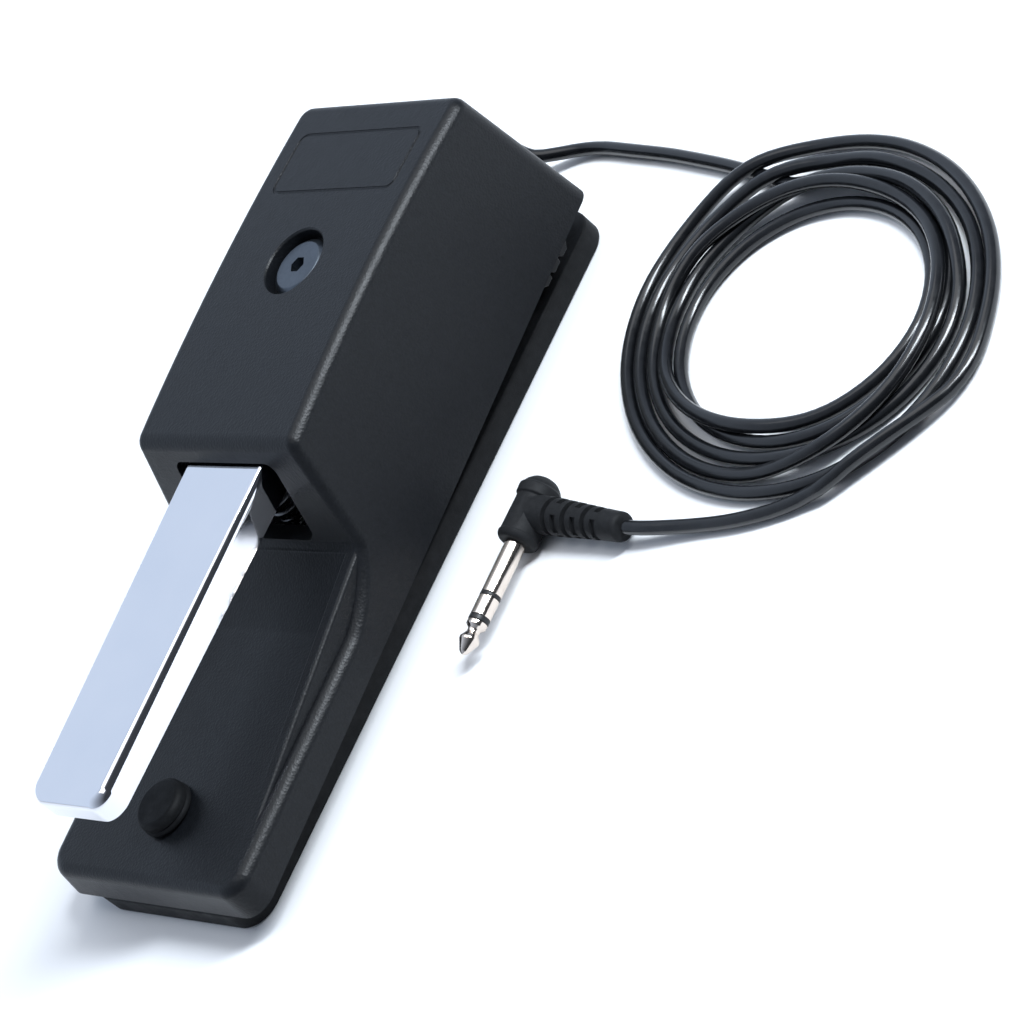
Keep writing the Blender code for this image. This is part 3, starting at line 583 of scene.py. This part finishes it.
def build_housing():
    bm = housing_block(0.0, 16)
    bevel(bm, lambda edge: upright_at(edge, -5, 20), FRONT_CORNER, 10)
    bevel(bm, lambda edge: upright_at(edge, 225, 250), REAR_CORNER, 8)
    bevel(bm, lambda edge: is_rim(edge) or is_brow(edge), RIM_BEVEL, 7)
    housing = mesh_object(bm, "housing_shell")
    join(housing, gusset(1), "gusset_right")
    join(housing, gusset(-1), "gusset_left")
    cut(housing, housing_block(WALL, 8), "housing_cavity")
    opening = rounded_rectangle(24.0, 34.1, 60.3, 4.0, 8)
    cut(housing, prism(opening, 104.0, 134.0, "Y"), "mouth")
    join(housing, turned([(0, 14), (8, 14)], (0, SCREW_D, 60.0), (0, 0, 1)), "screw_boss")
    cut(housing, badge_groove(), "badge_outline")
    well = [(0, 11.4), (3.9, 11.4), (4.3, 11.6), (4.7, 12.1), (4.9, 13.0), (10, 13.0)]
    cut(housing, turned(well, (0, SCREW_D, 65.5), (0, 0, 1), 96), "screw_well")
    cut(housing, turned([(0, 4.6), (15, 4.6)], (0, SCREW_D, 55.0), (0, 0, 1)), "screw_hole")
    cut(housing, turned([(0, 4.6), (15, 4.6)], (EXIT[0], 235, EXIT[1]), (0, 1, 0)), "cable_hole")
    pocket = box((30, 60), SWITCH_POCKET_D, (5, 24.5))
    for vertex in pocket.verts:
        if vertex.co.x > 50:
            vertex.co.x = half_width(vertex.co.z) - SKIN
    cut(housing, pocket, "switch_pocket")
    settle(housing)
    return finish_piece(housing, "housing", "black_plastic", PLASTIC, "housing")


# ---------------------------------------------------------------- lever
LEVER_HALF = 18.25
LEVER_SHEET = 2.5
LEVER_FRONT_D = 8.0
LEVER_REAR_D = 168.0
LEVER_CORNER = 6.5
LEVER_FOLD = 3.4
PIVOT = (150.0, 44.0)           # d and z of the lever's axis


def lever_top_z(d):
    return 56.3 + 0.0247 * d


def lever_blank(outline, low, thickness):
    """A solid from a flat underside to the lever's gently rising top, less a thickness."""
    bm = prism(outline, low, 58.0, "Z")
    for vertex in bm.verts:
        if vertex.co.z > 57:
            vertex.co.z = lever_top_z(vertex.co.y + LENGTH / 2) - thickness
    bm.normal_update()
    return bm


def build_lever():
    # The plan's rear corners are rounded beyond the cut, so that the cut leaves the rear square.
    plan = rounded_rectangle(LEVER_HALF, LEVER_FRONT_D, LEVER_REAR_D + 12, LEVER_CORNER, 14)
    outline = [(x, min(d, LEVER_REAR_D)) for x, d in plan]
    outline = list(dict.fromkeys((round(x, 6), round(d, 6)) for x, d in outline))
    bm = lever_blank(outline, 47.5, 0.0)

    def is_fold(edge):
        ends_the_top = {face.normal.z > 0.9 for face in edge.link_faces} == {True, False}
        return ends_the_top and min(v.co.y for v in edge.verts) < LEVER_REAR_D - LENGTH / 2 - 1

    bevel(bm, is_fold, LEVER_FOLD, 12)
    lever = mesh_object(bm, "lever_pan")
    ear = [(138, 50), (144, 37.2), (155.5, 37.2), (160, 46.5), (160, 50)]
    for side in (1, -1):
        low, high = sorted((side * (LEVER_HALF - LEVER_SHEET), side * LEVER_HALF))
        join(lever, prism(ear, low, high, "X"), f"lever_ear_{side}")
    inner_half = LEVER_HALF - LEVER_SHEET
    hollow = rounded_rectangle(inner_half, LEVER_FRONT_D + LEVER_SHEET, LEVER_REAR_D + 12, 4.0, 10)
    cut(lever, lever_blank(hollow, 30.0, LEVER_SHEET), "lever_hollow")
    cut(lever, turned([(0, 6.3), (60, 6.3)], (-30, *PIVOT), (1, 0, 0)), "lever_hub_hole")
    settle(lever)
    edge = lever.modifiers.new("rolled_edge", "BEVEL")
    edge.width = 0.35 * MM
    edge.segments = 3
    edge.limit_method = "ANGLE"
    edge.angle_limit = math.radians(60)
    return finish_piece(lever, "lever", "chrome_plate", CHROME, "pedal_lever")


# ---------------------------------------------------------------- rubber, screw and switch
FLAP_HALF = 39.0
FLAP_CORNER = 10.0
FLAP_THICK = 7.74
BUMPER_D = 25.0
BUMPER_RADIUS = 9.1
BUMPER_TOP_Z = 27.2
SCREW_TOP_Z = 68.3
SCREW_FOOT_Z = 33.0
SCREW_HEAD_THICK = 2.6
SCREW_HEAD_RADIUS = 10
SCREW_SHANK_RADIUS = 4
HEX_RADIUS = 2.89
KNOB_D = (210.0, 227.0)


def build_flap():
    outline = rounded_rectangle(FLAP_HALF, 0.6, 244.6, FLAP_CORNER, 14)
    bm = prism(outline, 0.0, FLAP_THICK, "Z")
    bm.normal_update()
    bevel(bm, lambda e: {abs(f.normal.z) > 0.9 for f in e.link_faces} == {True, False}, 0.9, 5)
    flap = settle(mesh_object(bm, "flap_slab"))
    return finish_piece(flap, "flap", "rubber", RUBBER, "rubber_flap")


def build_bumper():
    base = DECK_Z + DECK_SLOPE * (BUMPER_D + BUMPER_RADIUS) + 0.3
    height = BUMPER_TOP_Z - base
    profile = [
        (0, 0), (0, BUMPER_RADIUS), (0.9, 9.2), (1.9, 8.7), (2.2, 8.9),
        (height - 1.3, 8.7), (height - 0.15, 7.6), (height, 0),
    ]
    button = turned(rounded_profile(profile, 1.0), (0, BUMPER_D, base), (0, 0, 1))
    bumper = settle(mesh_object(button, "bumper_button"))
    return finish_piece(bumper, "housing", "rubber", RUBBER, "rubber_bumper")


def build_screw():
    length = SCREW_TOP_Z - SCREW_FOOT_Z
    under = SCREW_TOP_Z - SCREW_HEAD_THICK - SCREW_FOOT_Z
    profile = [
        (0, 0), (0, 3.2), (1, SCREW_SHANK_RADIUS), (under, SCREW_SHANK_RADIUS),
        (under, SCREW_HEAD_RADIUS), (length - 1.4, SCREW_HEAD_RADIUS), (length - 0.1, 8.3), (length, 0),
    ]
    bm = turned(rounded_profile(profile, 0.25), (0, SCREW_D, SCREW_FOOT_Z), (0, 0, 1), 96)
    screw = mesh_object(bm, "socket_screw")
    cutter = [(0, 0), (1.4, HEX_RADIUS), (6.5, HEX_RADIUS)]
    socket = turned(cutter, (0, SCREW_D, SCREW_TOP_Z - 4.5), (0, 0, 1), 6)
    cut(screw, socket, "hex_socket")
    settle(screw)
    return finish_piece(screw, "housing", "screw_steel", SCREW_STEEL, "top_screw")


def build_knob():
    low, high = KNOB_D
    outline = [(low, 24.0), (low, 16.4)]
    for i in range(5):
        d = low + (high - low) * (0.16 + 0.17 * i)
        notch = 15.0 + 1.3 * (i % 2)
        outline += [(d - 0.9, 15.0), (d - 0.54, notch), (d + 0.54, notch), (d + 0.9, 15.0)]
    outline += [(high, 16.4), (high, 24.0)]
    bm = prism(outline, -3.6, -1.5, "X")
    for vertex in bm.verts:
        vertex.co.x += half_width(vertex.co.z)
    bm.normal_update()
    bevel(bm, lambda e: e.calc_face_angle() > math.radians(40), 0.22, 3)
    knob = settle(mesh_object(bm, "switch_tab"))
    return finish_piece(knob, "knob", "black_plastic", KNOB_PLASTIC, "mode_switch_knob")


# ---------------------------------------------------------------- return spring
def build_spring():
    """The helix between its seats."""
    turns, radius, wire, middle = 7, 7.2, 1.8, 126.0
    bottom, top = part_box("return_spring")
    low, high = bottom[2] / MM + wire / 2, top[2] / MM - wire / 2
    points = []
    for i in range(48 * turns + 1):
        turn = i / 48
        rise = min(1.0, max(0.0, (turn - 0.75) / (turns - 1.5)))
        lift = low + wire * 0.5 * min(turn, 0.75) + (high - low - wire * 0.75) * rise
        lift += wire * 0.5 * max(0.0, turn - turns + 0.75)
        angle = 2 * math.pi * turn
        points.append((radius * math.cos(angle), middle + radius * math.sin(angle), lift))
    curve = round_wire("spring_helix", points, wire, 5)
    mesh = bpy.data.meshes.new_from_object(curve)
    spring = bpy.data.objects.new("spring_coil", mesh)
    bpy.data.objects.remove(curve)
    bpy.context.scene.collection.objects.link(spring)
    mesh.shade_smooth()
    finish_piece(spring, "housing", "zinc_steel", SPRING_STEEL, "return_spring")
    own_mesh(spring)
    return spring


# ---------------------------------------------------------------- cable
CABLE = 4.3
LEAD_ROUTE = (
    (-20.0, 259.0, 22.9),
    (-19.8, 262.2, 22.4),
    (-18.8, 265.5, 20.4),
    (-16.4, 267.5, 17.2),
    (-12.6, 267.6, 13.6),
    (-7.5, 266.6, 10.2),
    (-2.0, 266.0, 7.6),
    (4.0, 268.0, 5.4),
    (10.0, 270.2, 3.7),
    (16.0, 271.4, 2.8),
    (24.0, 271.5, 2.4),
    (37.0, 269.9, 2.4),
    (55.0, 267.5, 2.4),
    (71.0, 264.6, 2.4),
    (82.0, 262.4, 2.4),
    (92.3, 260.0, 2.4),
    (104.0, 257.0, 2.4),
    (116.0, 254.2, 2.4),
)
TAIL_ROUTE = (
    (117.2, 135.2, 5.5),
    (123.0, 135.5, 5.0),
    (130.0, 136.5, 4.0),
    (137.0, 137.6, 3.1),
    (144.0, 138.7, 2.5),
    (152.4, 139.9, 2.4),
    (161.3, 141.8, 2.4),
    (171.4, 144.9, 2.4),
    (180.8, 149.0, 2.4),
    (189.4, 154.4, 2.4),
)
COIL_START = 114.0              # degrees round the oval where the lead has come in
COIL_SWEEP = 5.36               # turns from there to where the tail leaves
# Centre, half length, half width and lean of the innermost turn and of an outer one.
COIL_INSIDE = (145.6, 208.2, 46.9, 38.1, -9.4)
COIL_OUTSIDE = (144.6, 207.6, 72.2, 57.8, -24.0)
# How far out the cord lies at each quarter turn: 0 is COIL_INSIDE, 1 is COIL_OUTSIDE, and the
# last turn lies beyond it.
COIL_SPREAD = (
    0.55, 0.30, 0.20, 0.03,
    0.00, 0.00, 0.00, 0.27,
    0.38, 0.55, 0.44, 0.50,
    0.22, 0.27, 0.67, 0.76,
    0.70, 0.84, 0.92, 1.02,
    1.02, 1.12, 1.20,
)


def coil_spread(quarter):
    """How far out the cord lies at a place counted in quarter turns, on a smooth curve."""
    i = min(int(quarter), len(COIL_SPREAD) - 2)
    t = quarter - i
    a, b, c, d = (COIL_SPREAD[min(max(k, 0), len(COIL_SPREAD) - 1)] for k in range(i - 1, i + 3))
    return b + 0.5 * t * (c - a + t * (2 * a - 5 * b + 4 * c - d + t * (3 * b - a - 3 * c + d)))


def coil_points():
    points = []
    steps = round(COIL_SWEEP * 60)
    for i in range(steps + 1):
        turn = COIL_SWEEP * i / steps
        spread = coil_spread(4 * turn)
        across, along, half_long, half_wide, lean = (
            inside + (outside - inside) * spread for inside, outside in zip(COIL_INSIDE, COIL_OUTSIDE)
        )
        angle, lean = math.radians(COIL_START - 360 * turn), math.radians(lean)
        u, v = half_long * math.cos(angle), half_wide * math.sin(angle)
        x = across + u * math.cos(lean) - v * math.sin(lean)
        d = along + u * math.sin(lean) + v * math.cos(lean)
        points.append(Vector((x, d, CABLE / 2 + 0.25)))
    return points


def lay_down(points, first, last):
    """Lifts each stretch of cord over what was laid before it, then eases the humps."""
    reach = 14                  # points this near along the cord are its own run, not a crossing
    lifts = [point.z for point in points]
    for i in range(first, last):
        for j in range(0, i - reach):
            gap = (points[i].xy - points[j].xy).length
            if gap < CABLE:
                lifts[i] = max(lifts[i], lifts[j] + math.sqrt(CABLE**2 - gap**2))
    wide = [max(lifts[max(0, i - 2):i + 3]) for i in range(len(lifts))]
    for _ in range(12):
        wide = [
            wide[i] if not 0 < i < len(wide) - 1 else (wide[i - 1] + 2 * wide[i] + wide[i + 1]) / 4
            for i in range(len(wide))
        ]
    for i in range(first, last):
        points[i].z = wide[i]


def build_cable():
    coil = coil_points()
    knots = [*LEAD_ROUTE, *coil[2:-2:4], *reversed(TAIL_ROUTE)]
    joined = smooth_points(knots, 4.0)
    lay_down(joined, 24, len(joined) - 14)
    cable = round_wire("cable", joined, CABLE, 8)
    finish_piece(cable, "housing", "cable_sheath", SHEATH, "cable_lead", "cable_coil", "cable_tail")
    return cable, joined


def build_strain_relief():
    x, z = EXIT
    profile = [(0, 2.3), (0, 6.4), (1.9, 6.4), (1.9, 4.3), (5.4, 4.3), (5.4, 5.7), (7.4, 5.4)]
    for i in range(4):
        start = 8.0 + 2.7 * i
        thick = 4.9 - 0.45 * i
        profile += [
            (start, thick - 0.9), (start + 0.7, thick - 0.9),
            (start + 0.9, thick), (start + 2.3, thick - 0.2),
        ]
    profile += [(18.9, 3.0), (18.9, 2.3)]
    bm = turned(rounded_profile(profile, 0.3, 3), (x, 239.4, z), (0, 1, 0))
    relief = settle(mesh_object(bm, "relief_sleeve"))
    return finish_piece(relief, "housing", "rubber", RUBBER, "strain_relief")


# ---------------------------------------------------------------- plug
PLUG_X = 75.4
PLUG_Z = 6.7
PLUG_COLLAR_D = 127.6
PLUG_TIP_D = 90.6
PLUG_RADIUS = 3.175
BOOT_START = (PLUG_X, 138.2, PLUG_Z)
BOOT_END = (116.2, 135.2, 5.5)


def build_plug_body():
    """Moulded right-angle body: a collar round the contacts, a capped head and a ribbed boot."""
    start = (PLUG_X, PLUG_COLLAR_D, PLUG_Z)
    barrel = [
        (0, 0), (0, 5.3), (0.8, 6.2), (2.0, 6.5), (2.4, 6.15), (14.4, 6.0), (14.8, 6.6),
        (17.8, 6.7), (18.4, 6.0), (19.4, 5.5), (21.0, 3.9), (21.9, 1.6), (21.9, 0),
    ]
    body = mesh_object(turned(rounded_profile(barrel, 0.6), start, (0, 1, 0), 72), "plug_moulding")
    axis = Vector(BOOT_END) - Vector(BOOT_START)
    reach = axis.length
    profile = [
        (0, 0), (0, 5.7), (12.0, 5.6),
        (reach - 7.0, 4.6), (reach - 0.8, 4.4), (reach, 3.7), (reach, 0),
    ]
    join(body, turned(rounded_profile(profile, 0.5), BOOT_START, tuple(axis), 72), "boot_core")
    rib_cuts(body, axis)
    settle(body, 40)
    return finish_piece(body, "housing", "black_plastic", PLUG_PLASTIC, "plug_body")


def rib_cuts(body, axis):
    """Grooves round the boot, and windows between them that leave a web along its upper side."""
    begin = Vector(BOOT_START)
    along = axis.normalized()
    side = along.cross(Vector((0, 0, 1))).normalized()
    up = side.cross(along).normalized()
    for i in range(3):
        spot = begin + along * (10.6 + 8.2 * i)
        core_radius = 4.1 - 0.35 * i
        disc = turned([(0, 9), (2.0, 9)], tuple(spot), tuple(axis), 72)
        groove = mesh_object(disc, f"groove_{i}", helper=True)
        core = turned([(-2, core_radius), (5, core_radius)], tuple(spot), tuple(axis), 72)
        boolean(groove, core, "DIFFERENCE", f"groove_core_{i}")
        modifier = body.modifiers.new(f"groove_{i}", "BOOLEAN")
        modifier.operation = "DIFFERENCE"
        modifier.object = groove
        for turn in (38, 142, 218, 322):
            angle = math.radians(turn)
            out = side * math.cos(angle) + up * math.sin(angle)
            window = bmesh.new()
            bmesh.ops.create_cube(window, size=1.0)
            around = along.cross(out)
            frame_turn = Matrix((along, around, out)).transposed().to_4x4()
            middle = Matrix.Translation(place(*(spot + along * 5.1 + out * (core_radius + 2.0))))
            size = Matrix.Diagonal((2.2, 5.6, 4.0, 1))
            bmesh.ops.transform(window, matrix=middle @ frame_turn @ size, verts=window.verts)
            cut(body, window, f"window_{i}_{turn}")


def contact(name, node, look, slot, profile):
    start = (PLUG_X, PLUG_TIP_D, PLUG_Z)
    piece = settle(mesh_object(turned(rounded_profile(profile, 0.25), start, (0, 1, 0), 64), name))
    return finish_piece(piece, "housing", slot, look, node)


def build_contacts():
    def rod(near, far):
        return [(near, 0), (near, PLUG_RADIUS - 0.08), (near + 0.1, PLUG_RADIUS), (far - 0.1, PLUG_RADIUS),
                (far, PLUG_RADIUS - 0.08), (far, 0)]

    tip = [(0, 0), (0.15, 0.5), (0.9, 1.4), (4.3, 3.02), (5.1, 3.1), (7.1, 1.9), (8.2, 1.95), (9.2, 3.05),
           (10.7, 3.1), (10.7, 0)]
    return [
        contact("contact_tip", "plug_tip", NICKEL, "nickel_contact", tip),
        contact("insulator_front", "plug_insulator_front", INNER_PLASTIC, "black_plastic", rod(10.8, 12.3)),
        contact("contact_ring", "plug_ring", NICKEL, "nickel_contact", rod(12.4, 18.6)),
        contact("insulator_rear", "plug_insulator_rear", INNER_PLASTIC, "black_plastic", rod(18.7, 19.8)),
        contact("contact_sleeve", "plug_sleeve", NICKEL, "nickel_contact",
                rod(19.9, PLUG_COLLAR_D - PLUG_TIP_D - 0.1)),
    ]


# ---------------------------------------------------------------- floor, light and camera
CAMERA_AZIMUTH = 66.57
CAMERA_ELEVATION = 34.26
CAMERA_ROLL = -50.47
CAMERA_TARGET = (0.0, 0.0448, -0.04305)
CAMERA_DISTANCE = 1.3735
CAMERA_LENS = 155.9
LIGHT_TARGET = (0.05, 0.04, 0.03)


def backward(azimuth, elevation):
    """Direction from the object to a viewer at that azimuth (0 looks along +Y) and elevation."""
    a, e = math.radians(azimuth), math.radians(elevation)
    return Vector((math.sin(a) * math.cos(e), -math.cos(a) * math.cos(e), math.sin(e)))


def build_camera():
    back = backward(CAMERA_AZIMUTH, CAMERA_ELEVATION)
    level = Vector((math.cos(math.radians(CAMERA_AZIMUTH)), math.sin(math.radians(CAMERA_AZIMUTH)), 0))
    upright = back.cross(level)
    roll = math.radians(CAMERA_ROLL)
    right = math.cos(roll) * level + math.sin(roll) * upright
    up = math.cos(roll) * upright - math.sin(roll) * level
    camera = bpy.data.objects.new("camera", bpy.data.cameras.new("camera"))
    bpy.context.scene.collection.objects.link(camera)
    turn = Matrix((right, up, back)).transposed().to_4x4()
    camera.matrix_world = Matrix.Translation(Vector(CAMERA_TARGET) + back * CAMERA_DISTANCE) @ turn
    camera.data.lens = CAMERA_LENS
    camera.data.sensor_width = 36.0
    camera.data.clip_start = 0.05
    bpy.context.scene.camera = camera


def softbox(name, direction, distance, size, power, colour=(1, 1, 1)):
    light = bpy.data.lights.new(name, "AREA")
    light.shape = "RECTANGLE"
    light.size, light.size_y = size
    light.energy = power
    light.color = colour
    lamp = bpy.data.objects.new(name, light)
    bpy.context.scene.collection.objects.link(lamp)
    lamp.location = Vector(LIGHT_TARGET) + Vector(direction).normalized() * distance
    lamp.rotation_mode = "QUATERNION"
    lamp.rotation_quaternion = (-Vector(direction)).to_track_quat("-Z", "Y")


def build_world():
    """A studio that is pale blue on the pedal's left and dark towards the right horizon."""
    world = bpy.data.worlds.new("studio")
    bpy.context.scene.world = world
    world.use_nodes = True
    nodes, links = world.node_tree.nodes, world.node_tree.links
    split = nodes.new("ShaderNodeSeparateXYZ")
    links.new(nodes.new("ShaderNodeTexCoord").outputs["Generated"], split.inputs["Vector"])
    ramp = nodes.new("ShaderNodeValToRGB")
    stops = ramp.color_ramp.elements
    stops[0].position, stops[0].color = 0.13, (0.74, 0.86, 1.05, 1)
    stops[1].position, stops[1].color = 0.85, (0.05, 0.055, 0.065, 1)
    middle = stops.new(0.45)
    middle.color = (0.36, 0.41, 0.50, 1)
    scale = nodes.new("ShaderNodeMapRange")
    scale.inputs["From Min"].default_value = -1.0
    links.new(split.outputs["X"], scale.inputs["Value"])
    links.new(scale.outputs["Result"], ramp.inputs["Fac"])
    links.new(ramp.outputs["Color"], nodes["Background"].inputs["Color"])
    nodes["Background"].inputs["Strength"].default_value = 1.0


def build_stage():
    bm = bmesh.new()
    bmesh.ops.create_grid(bm, x_segments=1, y_segments=1, size=6000)
    floor = mesh_object(bm, "studio_floor")
    floor.location.z = -0.0002
    look = Look("studio_floor", (0.86, 0.865, 0.875), specular=0.2)
    look.roughness(look.noise(400.0), 0.6, 0.7)
    floor.data.materials.append(look.material)
    build_world()
    softbox("overhead", (0.05, 0.25, 1), 1.6, (1.5, 1.5), 11)
    softbox("edge_light", (0.60, 0.36, 0.74), 1.5, (0.26, 0.9), 36, (0.86, 0.93, 1.0))
    bpy.context.scene.view_settings.view_transform = "Standard"


# ---------------------------------------------------------------- assembly
build_camera()
build_stage()
dress_cad_nodes()
cable, cable_route = build_cable()
build_housing()
build_lever()
build_flap()
build_bumper()
build_screw()
build_knob()
build_spring()
build_strain_relief()
plug_body = build_plug_body()
contacts = build_contacts()
for helper in list(HELPERS.objects):
    bpy.data.objects.remove(helper)
